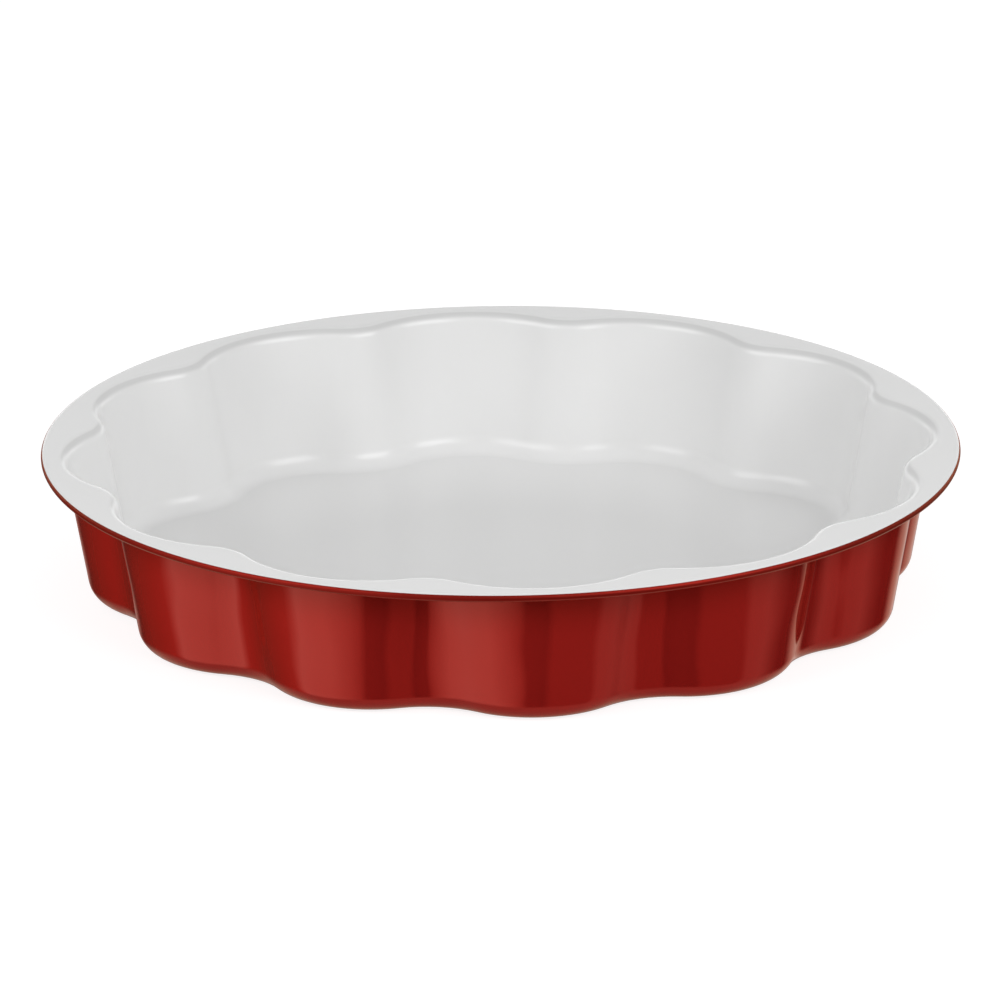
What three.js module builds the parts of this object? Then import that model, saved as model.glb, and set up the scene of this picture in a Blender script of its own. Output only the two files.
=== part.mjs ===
// Fluted pie dish: one pressed steel sheet with a rolled rim, lined with white ceramic
// and coated outside with red enamel. Millimetres, +Z up.
// The origin is the centre of the underside, on which the dish stands.

import * as THREE from 'three';

// Overall size
const RIM_DIAMETER = 280; // across the rolled rim
const DISH_HEIGHT = 45; // underside to rim top

// Fluted mouth, on the lined face, where the wall would meet the plane of the rim
const MOUTH_DIAMETER = 264.5; // across opposite flutes
const FLUTE_COUNT = 12;
const FLUTE_DEPTH = 8.4; // flute crown to ridge
const RIDGE_RADIUS = 18; // rounding of the ridge between two flutes

// Side profile
const WALL_DRAFT = THREE.MathUtils.degToRad(9.8); // lean of the wall from upright
const BASE_RADIUS = 7; // outside rounding from underside to wall
const SHOULDER_RADIUS = 3.5; // inside rounding from wall to rim
const BEAD_DIAMETER = 2.5; // rolled edge

// Angles round the bead, from its outermost line, upwards positive
const BEAD_TOP = THREE.MathUtils.degToRad(90); // where the flat rim turns into the bead
const COAT_LINE = THREE.MathUtils.degToRad(50); // where white meets red
const CURL_END = THREE.MathUtils.degToRad(-150); // where the rolled sheet stops

// Sheet and coats
const STEEL_THICKNESS = 0.6;
const LINING_THICKNESS = 0.2;
const ENAMEL_THICKNESS = 0.2;

// Facets of each round stretch
const FLUTE_STEPS = 6;
const RIDGE_STEPS = 2;
const BASE_STEPS = 3;
const SHOULDER_STEPS = 3;
const CURL_STEPS = 4;

// Depths of the faces below the lined face
const STEEL_TOP = LINING_THICKNESS;
const STEEL_UNDER = STEEL_TOP + STEEL_THICKNESS;
const ENAMEL_UNDER = STEEL_UNDER + ENAMEL_THICKNESS;

// Radii of the faces round the bead
const BEAD_LINED = BEAD_DIAMETER / 2;
const BEAD_STEEL = BEAD_LINED - LINING_THICKNESS;
const BEAD_ENAMEL = BEAD_STEEL + ENAMEL_THICKNESS;
const CURL_STEEL = BEAD_STEEL - STEEL_THICKNESS;
const CURL_ENAMEL = CURL_STEEL - ENAMEL_THICKNESS;

// The enamel wraps the sheet's cut edge by its own thickness, at the middle of the sheet
const WRAP_END = CURL_END - (2 * ENAMEL_THICKNESS) / (BEAD_STEEL + CURL_STEEL);

const FLUTE_PITCH = (2 * Math.PI) / FLUTE_COUNT;
const HALF_PITCH = FLUTE_PITCH / 2;

// The mouth is a ring of tangent arcs, a wide one for each flute and a narrow one for each ridge.
// Every other outline keeps their centres, so it runs parallel to the mouth at some offset.
const MOUTH = mouthArcs();

function mouthArcs() {
  const crown = MOUTH_DIAMETER / 2;
  const ridgeCentre = crown - FLUTE_DEPTH + RIDGE_RADIUS;
  const along = ridgeCentre * Math.cos(HALF_PITCH);
  const across = ridgeCentre * Math.sin(HALF_PITCH);
  const fluteRadius = (crown ** 2 + ridgeCentre ** 2 - 2 * crown * along - RIDGE_RADIUS ** 2)
    / (2 * (crown - along + RIDGE_RADIUS));
  const fluteCentre = crown - fluteRadius;
  const tangent = Math.atan2(across, along - fluteCentre);
  return { fluteCentre, fluteRadius, ridgeCentre, tangent };
}

// An arc whose centre lies at a distance from the axis, in the direction of an angle.
function arcAt(distance, direction, radius, start, end, clockwise) {
  const x = distance * Math.cos(direction);
  const y = distance * Math.sin(direction);
  return new THREE.EllipseCurve(x, y, radius, radius, start, end, clockwise);
}

// The points of an arc but its last, which the next arc begins with.
function openPoints(arc, steps) {
  return arc.getPoints(steps).slice(0, -1);
}

function flutedRing(offset, z) {
  const { fluteCentre, fluteRadius, ridgeCentre, tangent } = MOUTH;
  const points = [];
  for (let flute = 0; flute < FLUTE_COUNT; flute += 1) {
    const crown = flute * FLUTE_PITCH;
    const ridge = crown + HALF_PITCH;
    const leave = crown + tangent;
    const meet = crown + FLUTE_PITCH - tangent;
    const wide = arcAt(fluteCentre, crown, fluteRadius + offset, crown - tangent, leave, false);
    const narrow = arcAt(ridgeCentre, ridge, RIDGE_RADIUS - offset, leave + Math.PI, meet + Math.PI, true);
    points.push(...openPoints(wide, FLUTE_STEPS), ...openPoints(narrow, RIDGE_STEPS));
  }
  return points.map((point) => new THREE.Vector3(point.x, point.y, z));
}

// A circle with one point abreast of each point of the mouth.
function roundRing(radius, z) {
  return flutedRing(0, 0).map((point) => point.setLength(radius).setZ(z));
}

// One face of the sheet, from the edge of the flat floor to the start of the flat rim.
function pressedRings(depth) {
  const baseRadius = BASE_RADIUS - ENAMEL_UNDER + depth;
  const baseX = (BASE_RADIUS - DISH_HEIGHT) * Math.tan(WALL_DRAFT)
    - (BASE_RADIUS - ENAMEL_UNDER) / Math.cos(WALL_DRAFT);
  const base = new THREE.EllipseCurve(baseX, BASE_RADIUS, baseRadius, baseRadius, -Math.PI / 2, -WALL_DRAFT);

  const shoulderRadius = SHOULDER_RADIUS - depth;
  const shoulderX = SHOULDER_RADIUS * (1 / Math.cos(WALL_DRAFT) - Math.tan(WALL_DRAFT));
  const shoulderZ = DISH_HEIGHT - SHOULDER_RADIUS;
  const shoulder = new THREE.EllipseCurve(
    shoulderX, shoulderZ, shoulderRadius, shoulderRadius, Math.PI - WALL_DRAFT, Math.PI / 2, true);

  const profile = [...base.getPoints(BASE_STEPS), ...shoulder.getPoints(SHOULDER_STEPS)];
  return profile.map((point) => flutedRing(point.x, point.y));
}

// Rings round the bead at one distance from its middle.
function beadRings(radius, angles) {
  const middleRadius = RIM_DIAMETER / 2 - BEAD_ENAMEL;
  const middleZ = DISH_HEIGHT - BEAD_LINED;
  return angles.map((angle) => roundRing(
    middleRadius + radius * Math.cos(angle), middleZ + radius * Math.sin(angle)));
}

function curlAngles() {
  const angles = [];
  for (let step = 0; step <= CURL_STEPS; step += 1) {
    angles.push(THREE.MathUtils.lerp(COAT_LINE, CURL_END, step / CURL_STEPS));
  }
  return angles;
}

// The triangles of one face, from a point on the axis through its rings outwards.
function faceTriangles(rings, first, facesUp) {
  const size = rings[0].length;
  const triangles = [];
  const add = (a, b, c) => triangles.push(...(facesUp ? [a, b, c] : [a, c, b]));
  for (let side = 0; side < size; side += 1) {
    const next = (side + 1) % size;
    const inner = first + 1;
    add(first, inner + side, inner + next);
    for (let ring = 1; ring < rings.length; ring += 1) {
      const near = inner + (ring - 1) * size;
      const far = near + size;
      add(near + side, far + side, far + next);
      add(near + side, far + next, near + next);
    }
  }
  return triangles;
}

// A closed layer between two faces that both run from the axis to the same edge.
function layerGeometry(upper, lower) {
  const size = upper[0].length;
  const points = [];
  const indices = [];
  for (const rings of [upper, lower]) {
    indices.push(...faceTriangles(rings, points.length, rings === upper));
    points.push(new THREE.Vector3(0, 0, rings[0][0].z), ...rings.flat());
  }
  const upperEdge = upper.length * size + 1 - size;
  const lowerEdge = points.length - size;
  for (let side = 0; side < size; side += 1) {
    const next = (side + 1) % size;
    indices.push(upperEdge + side, lowerEdge + side, lowerEdge + next);
    indices.push(upperEdge + side, lowerEdge + next, upperEdge + next);
  }
  const geometry = new THREE.BufferGeometry().setFromPoints(points);
  geometry.setIndex(indices);
  geometry.computeVertexNormals();
  return geometry;
}

function liningGeometry() {
  const edge = [BEAD_TOP, COAT_LINE];
  const lined = [...pressedRings(0), ...beadRings(BEAD_LINED, edge)];
  const bonded = [...pressedRings(STEEL_TOP), ...beadRings(BEAD_STEEL, edge)];
  return layerGeometry(lined, bonded);
}

function shellGeometry() {
  const edge = [BEAD_TOP, ...curlAngles()];
  const top = [...pressedRings(STEEL_TOP), ...beadRings(BEAD_STEEL, edge)];
  const under = [...pressedRings(STEEL_UNDER), ...beadRings(CURL_STEEL, edge)];
  return layerGeometry(top, under);
}

// The enamel follows the sheet's underside into the curl, round its cut edge and up the bead.
function enamelGeometry() {
  const inwards = [BEAD_TOP, ...curlAngles()];
  const outwards = curlAngles().reverse();
  const bonded = [
    ...pressedRings(STEEL_UNDER),
    ...beadRings(CURL_STEEL, inwards),
    ...beadRings(BEAD_STEEL, outwards),
  ];
  const glossy = [
    ...pressedRings(ENAMEL_UNDER),
    ...beadRings(CURL_ENAMEL, [...inwards, WRAP_END]),
    ...beadRings(BEAD_ENAMEL, [WRAP_END, ...outwards]),
  ];
  return layerGeometry(bonded, glossy);
}

function bareSteel() {
  return new THREE.MeshStandardMaterial({ color: 0x9a9da1, roughness: 0.4, metalness: 1 });
}

function whiteCeramic() {
  return new THREE.MeshStandardMaterial({ color: 0xe4e4e2, roughness: 0.28, metalness: 0 });
}

function redEnamel() {
  return new THREE.MeshStandardMaterial({ color: 0x8c1c1c, roughness: 0.12, metalness: 0 });
}

function piece(name, geometry, material) {
  const mesh = new THREE.Mesh(geometry, material);
  mesh.name = name;
  return mesh;
}

const pieDish = new THREE.Group();
pieDish.add(piece('pressed_steel_shell', shellGeometry(), bareSteel()));
pieDish.add(piece('white_ceramic_lining', liningGeometry(), whiteCeramic()));
pieDish.add(piece('red_enamel_skin', enamelGeometry(), redEnamel()));

export default pieDish;
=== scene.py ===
"""Looks of a fluted pie dish: pressed steel, its white lining, its red enamel and a plain studio.

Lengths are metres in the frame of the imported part: +Z is up, and the dish stands on z = 0.
"""

import logging
import math
from dataclasses import dataclass, field
from enum import Enum
from typing import Any

import bmesh
import bpy
from mathutils import Matrix, Vector


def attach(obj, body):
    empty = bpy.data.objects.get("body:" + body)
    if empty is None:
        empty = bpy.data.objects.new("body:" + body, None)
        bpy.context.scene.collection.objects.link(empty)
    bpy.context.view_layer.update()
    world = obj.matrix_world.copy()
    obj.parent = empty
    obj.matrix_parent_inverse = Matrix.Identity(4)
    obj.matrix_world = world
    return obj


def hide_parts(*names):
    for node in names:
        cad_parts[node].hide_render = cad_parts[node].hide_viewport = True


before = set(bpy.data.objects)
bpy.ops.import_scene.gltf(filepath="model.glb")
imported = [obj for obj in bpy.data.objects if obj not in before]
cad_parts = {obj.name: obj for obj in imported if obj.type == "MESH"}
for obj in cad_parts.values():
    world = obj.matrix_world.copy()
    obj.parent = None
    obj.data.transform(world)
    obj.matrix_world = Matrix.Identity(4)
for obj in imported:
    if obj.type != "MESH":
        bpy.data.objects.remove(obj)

LOG = logging.getLogger("pie_dish")
BODY = "root"
MM = 0.001
WELD = 0.001 * MM
ORIGIN = Vector((0.0, 0.0, 0.0))
UP = Vector((0.0, 0.0, 1.0))
LEVEL = Vector((1.0, 1.0, 0.0))
CLIMB = Vector((0.0, -1.0, 0.0))

# A span has a first and a last value, and a stretch has a radius and a span of angles.
Colour = tuple[float, float, float, float]
Inputs = dict[str | int, Any]
Span = tuple[float, float]
Stretch = tuple[float, Span]

WHITE: Colour = (1.0, 1.0, 1.0, 1.0)
GLAZE_IOR = 1.5
NOISE_MIDDLE = 0.5

# Sockets of a Mix node that hold its colours
MIX_FIRST = 6
MIX_SECOND = 7
MIX_RESULT = 2

# What a warmth of 1 takes from green and from blue light
WARM_GREEN = 0.60
WARM_BLUE = 0.65


def grey(level: float) -> Colour:
    """Gives a neutral colour."""
    return (level, level, level, 1.0)


def keep_mesh(made: bmesh.types.BMesh, name: str) -> bpy.types.Mesh:
    """Turns a bmesh into a mesh and frees it.

    Args:
        made: The bmesh, which is gone afterwards.
        name: Name of the mesh.

    Returns:
        The mesh.
    """
    mesh = bpy.data.meshes.new(name)
    made.to_mesh(mesh)
    made.free()
    return mesh


class Node(Enum):
    """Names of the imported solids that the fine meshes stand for."""

    STEEL = "pressed_steel_shell"
    LINING = "white_ceramic_lining"
    ENAMEL = "red_enamel_skin"


class Slot(Enum):
    """Names of the record's material slots."""

    STEEL = "bare_steel"
    LINING = "white_ceramic"
    ENAMEL = "red_enamel"


class Field:
    """A socket that takes part in Python arithmetic by adding Math nodes."""

    def __init__(self, graph: "Graph", socket: bpy.types.NodeSocket) -> None:
        """Keeps the socket and the graph that it belongs to."""
        self.graph = graph
        self.socket = socket

    def _math(self, operation: str, left: Any, right: Any) -> "Field":
        """Adds one Math node.

        Args:
            operation: Blender's name of the operation.
            left: First operand, a Field or a number.
            right: Second operand, a Field or a number.

        Returns:
            The result.
        """
        return self.graph.add("ShaderNodeMath", {"operation": operation}, {0: left, 1: right})

    def __add__(self, other: Any) -> "Field":
        """Sum."""
        return self._math("ADD", self, other)

    def __radd__(self, other: Any) -> "Field":
        """Sum with a number on the left."""
        return self._math("ADD", other, self)

    def __sub__(self, other: Any) -> "Field":
        """Difference."""
        return self._math("SUBTRACT", self, other)

    def __rsub__(self, other: Any) -> "Field":
        """Difference from a number on the left."""
        return self._math("SUBTRACT", other, self)

    def __mul__(self, other: Any) -> "Field":
        """Product."""
        return self._math("MULTIPLY", self, other)

    def __rmul__(self, other: Any) -> "Field":
        """Product with a number on the left."""
        return self._math("MULTIPLY", other, self)

    def __gt__(self, other: Any) -> "Field":
        """1 where it is larger than the other, and else 0."""
        return self._math("GREATER_THAN", self, other)


class Graph:
    """A node tree under construction."""

    def __init__(self, tree: bpy.types.NodeTree) -> None:
        """Empties the tree and keeps it."""
        self.tree = tree
        self.tree.nodes.clear()

    def add(
        self,
        kind: str,
        settings: dict[str, Any] | None = None,
        inputs: Inputs | None = None,
        output: str | int = 0,
    ) -> Field:
        """Adds a node of any type.

        Args:
            kind: Blender's name of the node type.
            settings: Properties of the node, set before its sockets.
            inputs: Values or Fields for its sockets, by name or number.
            output: The socket that is returned, by name or number.

        Returns:
            The chosen output, or the node's first input where it has no output.
        """
        node = self.tree.nodes.new(kind)
        for name, value in (settings or {}).items():
            setattr(node, name, value)
        for name, value in (inputs or {}).items():
            if isinstance(value, Field):
                self.tree.links.new(value.socket, node.inputs[name])
            else:
                node.inputs[name].default_value = value
        return Field(self, node.outputs[output] if len(node.outputs) else node.inputs[0])

    def place(self) -> Field:
        """Gives the point in the piece's own coordinates."""
        return self.add("ShaderNodeTexCoord", output="Object")

    def noise(self, scale: float, detail: float = 2.0, stretch: Vector | None = None) -> Field:
        """Adds smooth noise on the piece's own coordinates.

        Args:
            scale: Waves in a metre.
            detail: Octaves of finer noise.
            stretch: Scale along each axis, for noise that is drawn out.

        Returns:
            A value about 0.5 that varies between 0 and 1.
        """
        place = self.place()
        if stretch is not None:
            place = self.add("ShaderNodeMapping", inputs={"Vector": place, "Scale": stretch})
        inputs = {"Vector": place, "Scale": scale, "Detail": detail}
        return self.add("ShaderNodeTexNoise", inputs=inputs)

    def height(self) -> Field:
        """Adds the height above the underside."""
        return self.add("ShaderNodeSeparateXYZ", inputs={"Vector": self.place()}, output="Z")

    def radius(self) -> Field:
        """Adds the distance from the axis."""
        flat = self.add("ShaderNodeVectorMath", {"operation": "MULTIPLY"}, {0: self.place(), 1: LEVEL})
        return self.add("ShaderNodeVectorMath", {"operation": "LENGTH"}, {0: flat}, "Value")

    def ease(self, value: Field, span: Span) -> Field:
        """Adds a smooth step.

        Args:
            value: What the step is taken over.
            span: Where the step is still 0, and where it has become 1.

        Returns:
            A value between 0 and 1.
        """
        bounds = {"Value": value, "From Min": span[0], "From Max": span[1]}
        return self.add("ShaderNodeMapRange", {"interpolation_type": "SMOOTHSTEP"}, bounds)

    def blend(self, factor: Field, first: Any, second: Any) -> Field:
        """Mixes two colours.

        Args:
            factor: 0 for the first colour and 1 for the second.
            first: First colour, plain or a Field.
            second: Second colour, plain or a Field.

        Returns:
            The mixed colour.
        """
        inputs = {"Factor": factor, MIX_FIRST: first, MIX_SECOND: second}
        return self.add("ShaderNodeMix", {"data_type": "RGBA"}, inputs, MIX_RESULT)

    def bump(self, height: Field, depth: float) -> Field:
        """Adds relief to the surface normal.

        Args:
            height: Relief between 0 and 1.
            depth: What a height of 1 measures in metres.

        Returns:
            The new normal.
        """
        return self.add("ShaderNodeBump", inputs={"Height": height, "Strength": 1.0, "Distance": depth})


@dataclass(frozen=True)
class Finish:
    """A surface finish, made into a material with Principled BSDF."""

    name: str

    def inputs(self, graph: Graph) -> Inputs:
        """Gives the values and Fields of the shader's sockets."""
        raise NotImplementedError

    def material(self) -> bpy.types.Material:
        """Makes the material.

        Returns:
            The material, with the finish's name.
        """
        made = bpy.data.materials.new(self.name)
        made.use_nodes = True
        graph = Graph(made.node_tree)
        shader = graph.add("ShaderNodeBsdfPrincipled", inputs=self.inputs(graph))
        graph.add("ShaderNodeOutputMaterial", inputs={"Surface": shader})
        return made


@dataclass(frozen=True)
class WhiteCeramic(Finish):
    """Sprayed white ceramic with a satin gloss and a faint orange peel.

    Its colour has painted shade in the middle of the floor, painted light on the floor's edge and the
    lower base rounding, and a painted shade line along the bend at the rim.
    """

    name: str = "white_ceramic"
    pale: Colour = (0.800, 0.800, 0.798, 1.0)
    dull: Colour = (0.780, 0.780, 0.777, 1.0)
    # Painted shade: the middle of the floor is darker than near the walls.
    painted_floor_shade: Colour = (0.742, 0.742, 0.740, 1.0)
    # Painted light: the floor's edge and the lower part of the base's rounding are lighter.
    painted_base_light: Colour = (0.830, 0.830, 0.828, 1.0)
    # Painted shade: a darker line along the bend at the rim.
    dark_edge: Colour = (0.660, 0.660, 0.657, 1.0)
    painted_shade_radii: Span = (62.0 * MM, 113.0 * MM)
    painted_light_levels: Span = (1.2 * MM, 5.0 * MM)
    bend_levels: Span = (43.0 * MM, 44.2 * MM)
    rim_levels: Span = (44.6 * MM, 44.99 * MM)
    roughness: float = 0.245
    roughness_spread: float = 0.04
    cloud_scale: float = 22.0
    cloud_detail: float = 3.0
    peel_scale: float = 620.0
    peel_depth: float = 0.006 * MM

    def inputs(self, graph: Graph) -> Inputs:
        """Gives the shader's inputs.

        Args:
            graph: The material's graph.

        Returns:
            Values and Fields, by the names of the sockets.
        """
        height = graph.height()
        cloud = graph.noise(self.cloud_scale, self.cloud_detail)
        # Painted shade, darkest in the middle of the floor and gone near the walls.
        outer = graph.ease(graph.radius(), self.painted_shade_radii)
        # Painted light low down, fading out up the base's rounding; the painted floor shade covers it in
        # the middle.
        wall = graph.ease(height, self.painted_light_levels)
        # Painted shade line on the bend, between the wall and the flat rim.
        bend = graph.ease(height, self.bend_levels) * (1.0 - graph.ease(height, self.rim_levels))
        coat_and_painted_shading = graph.blend(wall, self.painted_base_light, graph.blend(cloud, self.pale, self.dull))
        return {
            "Base Color": graph.blend(bend, graph.blend(outer, self.painted_floor_shade, coat_and_painted_shading), self.dark_edge),
            "Roughness": self.roughness + self.roughness_spread * (cloud - NOISE_MIDDLE),
            "IOR": GLAZE_IOR,
            "Normal": graph.bump(graph.noise(self.peel_scale), self.peel_depth),
        }


@dataclass(frozen=True)
class RedEnamel(Finish):
    """Glossy red enamel over bright steel: rippled, with painted shade under the rim, and darker and
    duller on the bead.
    """

    name: str = "red_enamel"
    deep: Colour = (0.360, 0.0140, 0.0114, 1.0)
    bright: Colour = (0.380, 0.0152, 0.0122, 1.0)
    # Painted shade under the rim.
    painted_rim_shade: Colour = (0.290, 0.0120, 0.0085, 1.0)
    # Darker colour on the bead.
    dark_edge: Colour = (0.240, 0.0090, 0.0060, 1.0)
    tint: Colour = (1.0, 1.0, 0.70, 1.0)
    rim_shade_levels: Span = (27.0 * MM, 42.0 * MM)
    bead_levels: Span = (42.8 * MM, 43.4 * MM)
    bead_metallic: float = 0.85
    bead_roughening: float = 0.45
    metallic: float = 0.51
    roughness: float = 0.05
    roughness_spread: float = 0.03
    cloud_scale: float = 30.0
    cloud_detail: float = 3.0
    ripple_scale: float = 60.0
    ripple_detail: float = 0.0
    ripple_depth: float = 0.60 * MM

    def inputs(self, graph: Graph) -> Inputs:
        """Gives the shader's inputs.

        Args:
            graph: The material's graph.

        Returns:
            Values and Fields, by the names of the sockets.
        """
        height = graph.height()
        cloud = graph.noise(self.cloud_scale, self.cloud_detail)
        ripple = graph.noise(self.ripple_scale, self.ripple_detail)
        # Painted shade, growing up the outside towards the rim.
        near_rim = graph.ease(height, self.rim_shade_levels)
        bead = graph.ease(height, self.bead_levels)
        # The coat's own tone, with the painted shade under the rim mixed in.
        coat_and_painted_shading = graph.blend(near_rim, graph.blend(cloud, self.deep, self.bright), self.painted_rim_shade)
        gloss = self.roughness + self.roughness_spread * (cloud - NOISE_MIDDLE)
        return {
            "Base Color": graph.blend(bead, coat_and_painted_shading, self.dark_edge),
            "Metallic": self.metallic + (self.bead_metallic - self.metallic) * bead,
            "Roughness": gloss + self.bead_roughening * bead,
            "IOR": GLAZE_IOR,
            "Specular Tint": self.tint,
            "Normal": graph.bump(ripple, self.ripple_depth),
        }


@dataclass(frozen=True)
class BareSteel(Finish):
    """Cold-rolled sheet steel, drawn along the rolling direction."""

    name: str = "bare_steel"
    light: Colour = (0.58, 0.59, 0.60, 1.0)
    dark: Colour = (0.46, 0.47, 0.48, 1.0)
    roughness: float = 0.38
    roughness_spread: float = 0.12
    grain_scale: float = 900.0
    grain_stretch: Vector = field(default_factory=lambda: Vector((0.05, 1.0, 1.0)))

    def inputs(self, graph: Graph) -> Inputs:
        """Gives the shader's inputs.

        Args:
            graph: The material's graph.

        Returns:
            Values and Fields, by the names of the sockets.
        """
        grain = graph.noise(self.grain_scale, stretch=self.grain_stretch)
        return {
            "Base Color": graph.blend(grain, self.light, self.dark),
            "Metallic": 1.0,
            "Roughness": self.roughness + self.roughness_spread * (grain - NOISE_MIDDLE),
        }


@dataclass(frozen=True)
class FlutedMouth:
    """The outline of the mouth: wide arcs for the flutes and narrow, tangent ones for the ridges."""

    diameter: float = 264.5 * MM
    flutes: int = 12
    depth: float = 8.4 * MM
    ridge_radius: float = 18.0 * MM
    flute_steps: int = 24
    ridge_steps: int = 8

    @property
    def crown(self) -> float:
        """Distance of a flute's crown from the axis."""
        return self.diameter / 2

    @property
    def half_pitch(self) -> float:
        """Angle from a crown to the next ridge."""
        return math.pi / self.flutes

    @property
    def columns(self) -> int:
        """Count of points round the outline."""
        return self.flutes * (self.flute_steps + self.ridge_steps)

    @property
    def ridge_centre(self) -> Vector:
        """Centre of the ridge arc after the flute at +X."""
        distance = self.crown - self.depth + self.ridge_radius
        return distance * Vector((math.cos(self.half_pitch), math.sin(self.half_pitch), 0.0))

    @property
    def flute_centre(self) -> Vector:
        """Centre of the arc of the flute at +X."""
        ridge = self.ridge_centre
        reach = self.crown**2 + ridge.length_squared - 2 * self.crown * ridge.x
        across = self.crown - ridge.x + self.ridge_radius
        radius = (reach - self.ridge_radius**2) / 2 / across
        return Vector((self.crown - radius, 0.0, 0.0))

    @property
    def tangent(self) -> float:
        """Half angle of a flute's arc."""
        reach = self.ridge_centre - self.flute_centre
        return math.atan2(reach.y, reach.x)


@dataclass(frozen=True)
class SheetProfile:
    """The side profile of the pressed sheet and the depths of its faces below the lined face."""

    rim_diameter: float = 280.0 * MM
    height: float = 45.0 * MM
    draft: float = math.radians(9.8)
    base_radius: float = 7.0 * MM
    shoulder_radius: float = 3.5 * MM
    bead_diameter: float = 2.5 * MM
    bead_top: float = math.radians(90.0)
    coat_line: float = math.radians(50.0)
    curl_end: float = math.radians(-150.0)
    steel: float = 0.6 * MM
    lining: float = 0.2 * MM
    enamel: float = 0.2 * MM

    @property
    def steel_top(self) -> float:
        """Depth of the steel's upper face."""
        return self.lining

    @property
    def steel_under(self) -> float:
        """Depth of the steel's lower face."""
        return self.steel_top + self.steel

    @property
    def enamel_under(self) -> float:
        """Depth of the enamel's outer face, which is the whole thickness."""
        return self.steel_under + self.enamel

    @property
    def bead_lined(self) -> float:
        """Radius of the lined face round the bead."""
        return self.bead_diameter / 2

    @property
    def bead_steel(self) -> float:
        """Radius of the steel's outer face round the bead."""
        return self.bead_lined - self.lining

    @property
    def bead_enamel(self) -> float:
        """Radius of the enamel's outer face round the bead."""
        return self.bead_steel + self.enamel

    @property
    def curl_steel(self) -> float:
        """Radius of the steel's inner face in the curl."""
        return self.bead_steel - self.steel

    @property
    def curl_enamel(self) -> float:
        """Radius of the enamel's face in the curl."""
        return self.curl_steel - self.enamel

    @property
    def wrap_end(self) -> float:
        """Angle at which the enamel has wrapped the sheet's cut edge."""
        return self.curl_end - 2 * self.enamel / (self.bead_steel + self.curl_steel)

    @property
    def bead_centre(self) -> Vector:
        """Middle of the bead's section, in the plane through +X."""
        return Vector((self.rim_diameter / 2 - self.bead_enamel, 0.0, self.height - self.bead_lined))


class Pen:
    """Draws one open profile in the plane of +X and +Z, with spin for arcs and extrude for lines."""

    def __init__(self, start: Vector) -> None:
        """Starts the profile at a point."""
        self.mesh = bmesh.new()
        self.tip = bmesh.ops.create_vert(self.mesh, co=start)["vert"][0]

    def line(self, end: Vector) -> "Pen":
        """Draws a straight line from the pen's place.

        Args:
            end: Where the line ends.

        Returns:
            The pen, at the end of the line.
        """
        made = bmesh.ops.extrude_vert_indiv(self.mesh, verts=[self.tip])
        self.tip = made["verts"][0]
        self.tip.co = end
        return self

    def arc(self, centre: Vector, turn: float, steps: int) -> "Pen":
        """Draws an arc from the pen's place.

        Args:
            centre: Middle of the arc.
            turn: Angle that it covers, positive where it climbs from +X to +Z.
            steps: Count of its chords.

        Returns:
            The pen, at the end of the arc.
        """
        made = bmesh.ops.spin(
            self.mesh, geom=[self.tip], cent=centre, axis=CLIMB, angle=turn, steps=steps)
        self.tip = next(part for part in made["geom_last"] if isinstance(part, bmesh.types.BMVert))
        return self


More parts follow.
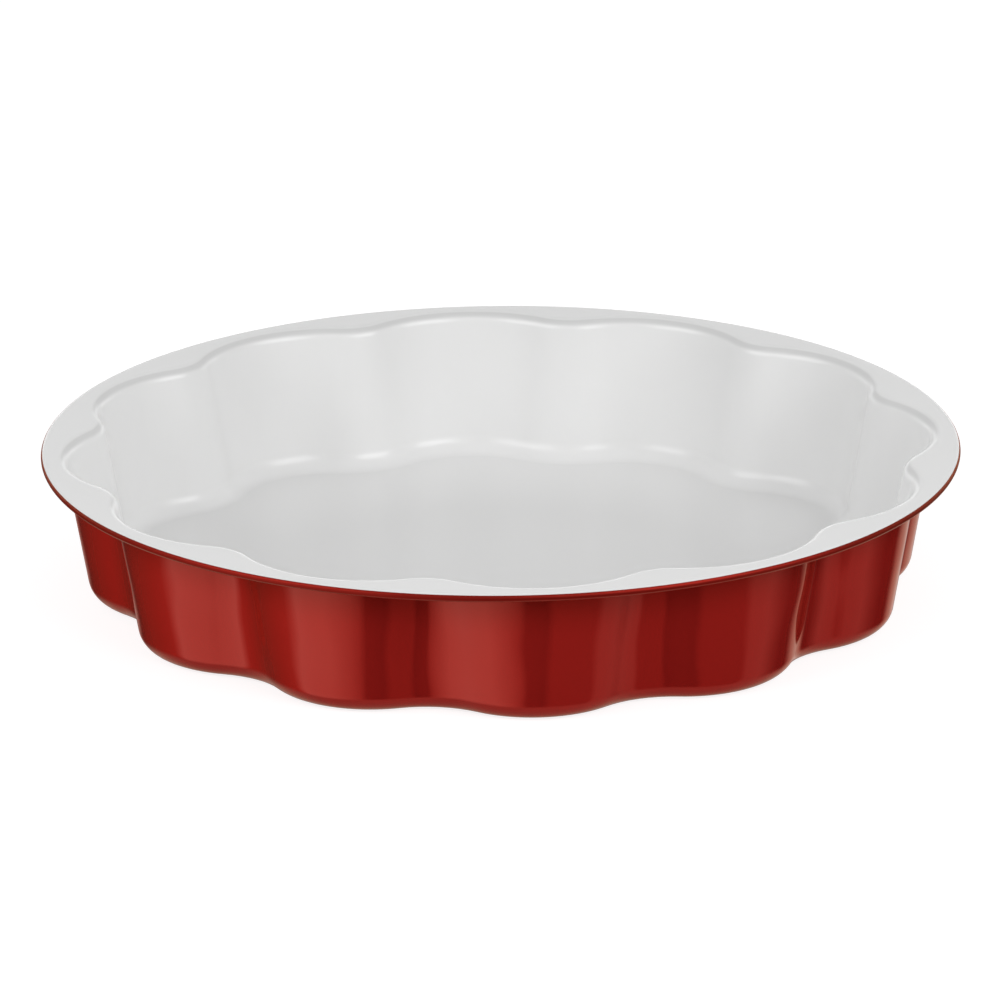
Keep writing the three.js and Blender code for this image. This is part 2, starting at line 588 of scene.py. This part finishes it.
@dataclass
class PressedDish:
    """The dish: one pressed sheet with a rolled rim, and the two coats on it."""

    mouth: FlutedMouth = field(default_factory=FlutedMouth)
    profile: SheetProfile = field(default_factory=SheetProfile)
    base_steps: int = 14
    shoulder_steps: int = 10
    bead_step: float = math.radians(12.0)
    lead: float = 0.5 * MM
    floor_inset: float = 6.0 * MM
    bridge_lift: float = 10.0 * MM
    crease: float = math.radians(40.0)

    def pressed_pen(self, depth: float) -> Pen:
        """Draws the section of one face, at a flute's crown, from the floor to the flat rim.

        Args:
            depth: Depth of the face below the lined face.

        Returns:
            The drawn profile, with a short lead at each end and beside each rounding.
        """
        sheet = self.profile
        lean, rise = math.sin(sheet.draft), math.cos(sheet.draft)
        turn = math.pi / 2 - sheet.draft
        slope = Vector((lean, 0.0, rise)) * self.lead
        level = Vector((self.lead, 0.0, 0.0))

        inner_radius = sheet.base_radius - sheet.enamel_under
        base_x = (sheet.base_radius - sheet.height) * math.tan(sheet.draft) - inner_radius / rise
        base = Vector((self.mouth.crown + base_x, 0.0, sheet.base_radius))
        shoulder_x = sheet.shoulder_radius * (1.0 / rise - math.tan(sheet.draft))
        shoulder = Vector((self.mouth.crown + shoulder_x, 0.0, sheet.height - sheet.shoulder_radius))

        floor_edge = base - UP * (inner_radius + depth)
        wall_foot = base + Vector((rise, 0.0, -lean)) * (inner_radius + depth)
        wall_head = shoulder + Vector((-rise, 0.0, lean)) * (sheet.shoulder_radius - depth)
        rim_edge = shoulder + UP * (sheet.shoulder_radius - depth)

        pen = Pen(floor_edge - level).line(floor_edge).arc(base, turn, self.base_steps)
        pen.line(wall_foot + slope).line(wall_head - slope).line(wall_head)
        pen.arc(shoulder, -turn, self.shoulder_steps).line(rim_edge + level)
        return pen

    def pressed_face(self, depth: float) -> bpy.types.Mesh:
        """Spins a section round a flute and a ridge, mirrors it and repeats it round the dish.

        Args:
            depth: Depth of the face below the lined face.

        Returns:
            The face, open at the floor and at the rim.
        """
        mouth = self.mouth
        made = self.pressed_pen(depth).mesh
        flute = bmesh.ops.spin(
            made, geom=self.whole(made), cent=mouth.flute_centre, axis=UP,
            angle=mouth.tangent, steps=mouth.flute_steps // 2)
        bmesh.ops.spin(
            made, geom=flute["geom_last"], cent=mouth.ridge_centre, axis=UP,
            angle=mouth.half_pitch - mouth.tangent, steps=mouth.ridge_steps // 2)
        bmesh.ops.mirror(made, geom=self.whole(made), axis="Y", merge_dist=WELD)
        bmesh.ops.spin(
            made, geom=self.whole(made), cent=ORIGIN, axis=UP, use_duplicate=True,
            angle=2 * mouth.half_pitch * (mouth.flutes - 1), steps=mouth.flutes - 1)
        bmesh.ops.remove_doubles(made, verts=made.verts[:], dist=WELD)
        return keep_mesh(made, "pressed_face")

    def bead_face(self, stretches: list[Stretch]) -> bpy.types.Mesh:
        """Spins the section of a layer's rolled edge round the dish.

        Args:
            stretches: Radii of the arcs round the bead's middle, each with its first and last angle.

        Returns:
            The face, open at both ends, where the flat rim meets it.
        """
        centre = self.profile.bead_centre
        lead = Vector((self.lead, 0.0, 0.0))

        def place(radius: float, angle: float) -> Vector:
            """Gives the point at an angle round the bead's middle."""
            return centre + radius * Vector((math.cos(angle), 0.0, math.sin(angle)))

        first_radius, (first_angle, _) = stretches[0]
        pen = Pen(place(first_radius, first_angle) - lead)
        for radius, (start, end) in stretches:
            steps = max(1, round(abs(end - start) / self.bead_step))
            pen.line(place(radius, start)).arc(centre, end - start, steps)
        pen.line(pen.tip.co - lead)
        made = pen.mesh
        bmesh.ops.spin(
            made, geom=self.whole(made), cent=ORIGIN, axis=UP,
            angle=2 * math.pi, steps=self.mouth.columns, use_merge=True)
        bmesh.ops.remove_doubles(made, verts=made.verts[:], dist=WELD)
        return keep_mesh(made, "bead_face")

    @staticmethod
    def whole(made: bmesh.types.BMesh) -> list[Any]:
        """Lists all that a bmesh holds."""
        return made.verts[:] + made.edges[:] + made.faces[:]

    def layer(self, node: Node, depths: Span, stretches: list[Stretch]) -> bpy.types.Object:
        """Joins two faces and a rolled edge into one closed layer.

        Args:
            node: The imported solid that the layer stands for.
            depths: Depths of its upper and lower face.
            stretches: Arcs of its rolled edge, as bead_face takes them.

        Returns:
            The finished object, smooth but for its thin edges.
        """
        made = bmesh.new()
        self.take(made, self.bead_face(stretches))
        bead = made.verts[:]
        bmesh.ops.translate(made, verts=bead, vec=UP * self.bridge_lift)
        for depth in depths:
            self.take(made, self.pressed_face(depth))
            level = self.profile.height - depth
            loops = self.open_edges(made, level) + self.open_edges(made, level + self.bridge_lift)
            bmesh.ops.bridge_loops(made, edges=loops)
            self.close_floor(made, self.profile.enamel_under - depth)
        bmesh.ops.translate(made, verts=bead, vec=-UP * self.bridge_lift)
        bmesh.ops.recalc_face_normals(made, faces=made.faces[:])
        for face in made.faces:
            face.smooth = True
        for edge in made.edges:
            edge.smooth = edge.calc_face_angle(0.0) < self.crease
        name = node.value + "_fine"
        piece = bpy.data.objects.new(name, keep_mesh(made, name))
        bpy.context.scene.collection.objects.link(piece)
        return piece

    @staticmethod
    def take(made: bmesh.types.BMesh, mesh: bpy.types.Mesh) -> None:
        """Adds a mesh to a bmesh and removes it."""
        made.from_mesh(mesh)
        bpy.data.meshes.remove(mesh)

    @staticmethod
    def open_edges(made: bmesh.types.BMesh, level: float) -> list[bmesh.types.BMEdge]:
        """Finds the open edges that lie at a height."""
        return [
            edge for edge in made.edges
            if edge.is_boundary and all(abs(vert.co.z - level) < WELD for vert in edge.verts)]

    def close_floor(self, made: bmesh.types.BMesh, level: float) -> None:
        """Closes a face's floor with one flat face inside a narrow border.

        Args:
            made: The layer under construction.
            level: Height of the floor.
        """
        filled = bmesh.ops.contextual_create(made, geom=self.open_edges(made, level))
        bmesh.ops.inset_region(
            made, faces=filled["faces"], thickness=self.floor_inset, use_even_offset=True)

    def build(self) -> list[bpy.types.Object]:
        """Builds and dresses the three layers.

        Returns:
            The pieces.
        """
        sheet = self.profile
        top, coat, curl = sheet.bead_top, sheet.coat_line, sheet.curl_end
        lined = [(sheet.bead_lined, (top, coat)), (sheet.bead_steel, (coat, top))]
        rolled = [(sheet.bead_steel, (top, curl)), (sheet.curl_steel, (curl, top))]
        wrapped = [
            (sheet.curl_enamel, (top, sheet.wrap_end)), (sheet.bead_enamel, (sheet.wrap_end, coat)),
            (sheet.bead_steel, (coat, curl)), (sheet.curl_steel, (curl, top))]
        steel_faces = (sheet.steel_top, sheet.steel_under)
        lining_faces = (0.0, sheet.steel_top)
        enamel_faces = (sheet.enamel_under, sheet.steel_under)
        return [
            self.dress(Node.STEEL, BareSteel(), steel_faces, rolled),
            self.dress(Node.LINING, WhiteCeramic(), lining_faces, lined),
            self.dress(Node.ENAMEL, RedEnamel(), enamel_faces, wrapped),
        ]

    def dress(
        self, node: Node, finish: Finish, depths: Span, stretches: list[Stretch]
    ) -> bpy.types.Object:
        """Builds one layer, gives it its finish and puts it in its solid's place.

        Args:
            node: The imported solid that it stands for.
            finish: What its surface looks like.
            depths: Depths of its upper and lower face.
            stretches: Arcs of its rolled edge, as bead_face takes them.

        Returns:
            The piece.
        """
        piece = self.layer(node, depths, stretches)
        piece.data.materials.append(finish.material())
        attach(piece, BODY)
        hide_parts(node.value)
        return piece


@dataclass(frozen=True)
class Softbox:
    """A wide lamp that faces the dish, with its turn in degrees to the right of the camera."""

    name: str
    turn: float
    radiance: float
    elevation: float = math.radians(26.0)
    distance: float = 1.40
    width: float = 1.20
    height: float = 0.80

    def build(self, target: Vector, front: float) -> None:
        """Makes the lamp.

        Args:
            target: The point that it faces.
            front: Direction from the dish to the camera, as an angle from +X.
        """
        lamp = bpy.data.lights.new(self.name, "AREA")
        lamp.shape = "RECTANGLE"
        lamp.size = self.width
        lamp.size_y = self.height
        lamp.energy = self.radiance * math.pi * self.width * self.height
        level = math.cos(self.elevation)
        angle = front + math.radians(self.turn)
        away = Vector((level * math.cos(angle), level * math.sin(angle), math.sin(self.elevation)))
        placed = bpy.data.objects.new(self.name, lamp)
        placed.location = target + away * self.distance
        placed.rotation_euler = away.to_track_quat("Z", "Y").to_euler()
        bpy.context.scene.collection.objects.link(placed)


@dataclass(frozen=True)
class Stop:
    """One stop of the surround: its turn in degrees to the right of the camera, and the light from there.

    A warmth of 0 is white paper, 1 is paper in the red glow of the dish, and more is a deeper red.
    """

    turn: float
    radiance: float
    warmth: float = 0.0

    @property
    def place(self) -> float:
        """Place of the stop on a ramp that runs once round the dish."""
        return 0.5 + self.turn / 360.0

    @property
    def colour(self) -> Colour:
        """Colour and strength of the light."""
        green = self.radiance * (1 - WARM_GREEN * self.warmth)
        blue = self.radiance * (1 - WARM_BLUE * self.warmth)
        return (self.radiance, green, blue, 1.0)


@dataclass
class Studio:
    """A white floor and backdrop, a surround that the glossy outside mirrors, and two soft lamps."""

    floor_half: float = 6.0
    floor_drop: float = 0.05 * MM
    floor_white: float = 0.80
    floor_glow: float = 0.82
    floor_shade: float = 0.35
    overhead: float = 0.37
    backdrop: float = 0.77
    skyline: float = 2.00
    backdrop_edge: Span = (0.25, 0.60)
    skyline_edge: Span = (0.11, 0.20)
    under_edge: Span = (0.59, 0.76)
    under_slant: float = 0.20
    under: Stop = Stop(0.0, 0.52, 0.30)
    low_stops: tuple[Stop, ...] = (
        Stop(-176.0, 0.10, 1.0), Stop(-166.0, 0.45, 0.7), Stop(-152.0, 0.07, 1.0),
        Stop(-135.0, 0.20, 1.3), Stop(-105.0, 0.50, 1.3), Stop(-91.0, 0.64, 1.2),
        Stop(-85.0, 0.85, 0.7), Stop(-77.0, 1.15), Stop(-45.0, 1.08),
        Stop(-24.0, 0.76, 0.3), Stop(-14.0, 0.52, 0.6), Stop(-7.0, 0.15, 1.0),
        Stop(12.0, 0.07, 1.0), Stop(20.0, 0.31, 1.0), Stop(61.0, 0.28, 1.0),
        Stop(70.0, 0.50, 0.4), Stop(90.0, 0.50, 0.4), Stop(105.0, 0.22, 0.7),
        Stop(117.0, 0.05, 1.0), Stop(131.0, 0.05, 1.0), Stop(142.0, 0.60, 0.5),
        Stop(165.0, 0.80, 0.4), Stop(176.0, 0.10, 1.0))
    softboxes: tuple[Softbox, ...] = (
        Softbox("left_softbox", -57.0, 2.85), Softbox("right_softbox", 46.0, 3.6))

    def build(self, target: Vector, front: float) -> None:
        """Makes the floor, the surround and the lamps.

        Args:
            target: The point that the lamps face.
            front: Direction from the dish to the camera, as an angle from +X.
        """
        self.floor()
        self.surround(front)
        for softbox in self.softboxes:
            softbox.build(target, front)
        bpy.context.scene.view_settings.view_transform = "Standard"

    def floor(self) -> None:
        """Makes the floor: white but for a soft shadow, and clear to what glossy surfaces mirror."""
        made = bmesh.new()
        bmesh.ops.create_grid(made, x_segments=1, y_segments=1, size=self.floor_half)
        bmesh.ops.translate(made, verts=made.verts[:], vec=-UP * self.floor_drop)
        floor = bpy.data.objects.new("floor", keep_mesh(made, "floor"))
        bpy.context.scene.collection.objects.link(floor)

        paint = bpy.data.materials.new("floor_white")
        paint.use_nodes = True
        graph = Graph(paint.node_tree)
        plain = graph.add("ShaderNodeBsdfDiffuse", inputs={"Color": grey(self.floor_white)})
        glow = graph.add("ShaderNodeEmission", inputs={"Strength": self.floor_glow})
        shadow = graph.add("ShaderNodeBsdfDiffuse", inputs={"Color": grey(self.floor_shade)})
        seen = graph.add("ShaderNodeAddShader", inputs={0: glow, 1: shadow})
        clear = graph.add("ShaderNodeBsdfTransparent")
        is_glossy = graph.add("ShaderNodeLightPath", output="Is Glossy Ray")
        is_camera = graph.add("ShaderNodeLightPath", output="Is Camera Ray")
        bounced = graph.add("ShaderNodeMixShader", inputs={0: is_glossy, 1: plain, 2: clear})
        surface = graph.add("ShaderNodeMixShader", inputs={0: is_camera, 1: bounced, 2: seen})
        graph.add("ShaderNodeOutputMaterial", inputs={"Surface": surface})
        floor.data.materials.append(paint)

    def surround(self, front: float) -> None:
        """Makes the world: white to the camera, else a dim top, a bright back and bands of light below.

        Args:
            front: Direction from the dish to the camera, as an angle from +X.
        """
        world = bpy.data.worlds.new("studio")
        world.use_nodes = True
        bpy.context.scene.world = world
        graph = Graph(world.node_tree)
        direction = graph.add("ShaderNodeTexCoord", output="Generated")
        turn = (0.0, 0.0, -front)
        faced = graph.add("ShaderNodeMapping", inputs={"Vector": direction, "Rotation": turn})
        height = graph.add("ShaderNodeSeparateXYZ", inputs={"Vector": direction}, output="Z")
        behind = graph.add("ShaderNodeSeparateXYZ", inputs={"Vector": faced}, output="X") * -1.0
        screen = self.skyline + (self.backdrop - self.skyline) * graph.ease(height, self.skyline_edge)
        upper = self.overhead + (screen - self.overhead) * graph.ease(behind, self.backdrop_edge)
        under = graph.ease(behind * self.under_slant - height, self.under_edge)
        lower = graph.blend(under, self.bands(graph, faced), self.under.colour)
        room = graph.blend(height > 0.0, lower, upper)
        is_camera = graph.add("ShaderNodeLightPath", output="Is Camera Ray")
        sky = graph.add("ShaderNodeBackground", inputs={"Color": graph.blend(is_camera, room, WHITE)})
        graph.add("ShaderNodeOutputWorld", inputs={"Surface": sky})

    def bands(self, graph: Graph, faced: Field) -> Field:
        """Gives the light from below the horizon, from the stops.

        Args:
            graph: The world's graph.
            faced: Direction with +X towards the camera.

        Returns:
            Its colour.
        """
        around = graph.add(
            "ShaderNodeTexGradient", {"gradient_type": "RADIAL"}, {"Vector": faced}, "Fac")
        ramp = graph.add("ShaderNodeValToRGB", inputs={"Fac": around})
        elements = ramp.socket.node.color_ramp.elements
        for stop in self.low_stops[len(elements):]:
            elements.new(stop.place)
        for element, stop in zip(elements, self.low_stops):
            element.position = stop.place
            element.color = stop.colour
        return ramp


@dataclass(frozen=True)
class PhotoCamera:
    """The camera, at the photograph's place: high in front, with a long lens."""

    azimuth: float = math.radians(-5.650)
    elevation: float = math.radians(18.376)
    distance: float = 2.5726
    lens: float = 303.91
    sensor: float = 36.0
    pan: float = math.radians(-0.0071)
    tilt: float = math.radians(-0.3898)
    roll: float = math.radians(-0.420)
    clip_end: float = 100.0

    @property
    def front(self) -> float:
        """Direction from the dish to the camera, as an angle from +X."""
        return self.azimuth - math.pi / 2

    def build(self, target: Vector) -> None:
        """Makes the camera.

        Args:
            target: The point from which the angles and the distance are measured.
        """
        level = math.cos(self.elevation)
        across, along = math.sin(self.azimuth) * level, -math.cos(self.azimuth) * level
        back = Vector((across, along, math.sin(self.elevation)))
        forward = -back
        right = forward.cross(UP).normalized()
        up = right.cross(forward)
        axes = Matrix((right, up, -forward)).transposed()
        pan = Matrix.Rotation(-self.pan, 3, "Y")
        tilt = Matrix.Rotation(self.tilt, 3, "X")
        aim = pan @ tilt @ Matrix.Rotation(self.roll, 3, "Z")
        turned = (axes @ aim).to_4x4()

        data = bpy.data.cameras.new("photo_camera")
        data.lens = self.lens
        data.sensor_width = self.sensor
        data.clip_end = self.clip_end
        camera = bpy.data.objects.new("photo_camera", data)
        camera.matrix_world = Matrix.Translation(target + back * self.distance) @ turned
        bpy.context.scene.collection.objects.link(camera)
        bpy.context.scene.camera = camera


def main() -> None:
    """Builds the dish, the camera and the studio."""
    logging.basicConfig(level=logging.INFO, format="%(name)s: %(message)s")
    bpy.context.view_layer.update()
    dish = PressedDish()
    for piece in dish.build():
        LOG.info("%s: %d faces", piece.name, len(piece.data.polygons))
    rim_middle = UP * dish.profile.height
    camera = PhotoCamera()
    camera.build(rim_middle)
    Studio().build(rim_middle, camera.front)


if __name__ == "__main__":
    main()
